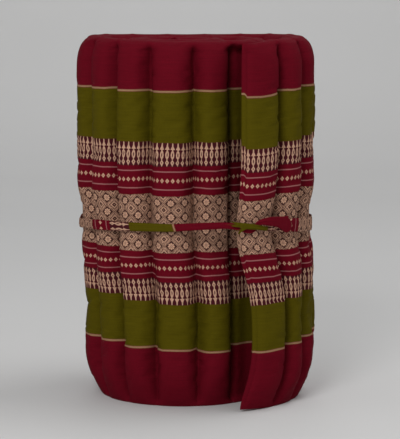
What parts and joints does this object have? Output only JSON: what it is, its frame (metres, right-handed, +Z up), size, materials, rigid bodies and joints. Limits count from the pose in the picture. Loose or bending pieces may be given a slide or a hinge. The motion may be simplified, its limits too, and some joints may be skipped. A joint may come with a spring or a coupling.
{
  "type": "rolled floor mattress",
  "caption": "Quilted cotton floor mattress of stuffed channels, wound into a roll that stands on its end and is held by two knotted cloth ties.",
  "frame": {"origin": "middle of the bounding box's bottom face, on the surface that the roll stands on", "axes": "+Z up along the roll's axis, -Y to the front where the knot is, +X to the right of someone facing the knot"},
  "size_m": [0.396, 0.4184, 0.6],
  "materials": {
    "mattress_cloth": "woven cotton in red, green and tan bands",
    "tie_cloth": "woven cotton strip in red, green and tan bands"
  },
  "bodies": {
    "root": {"mattress_roll": "mattress_cloth", "tie_left": "tie_cloth", "tie_right": "tie_cloth"}
  },
  "joints": []
}
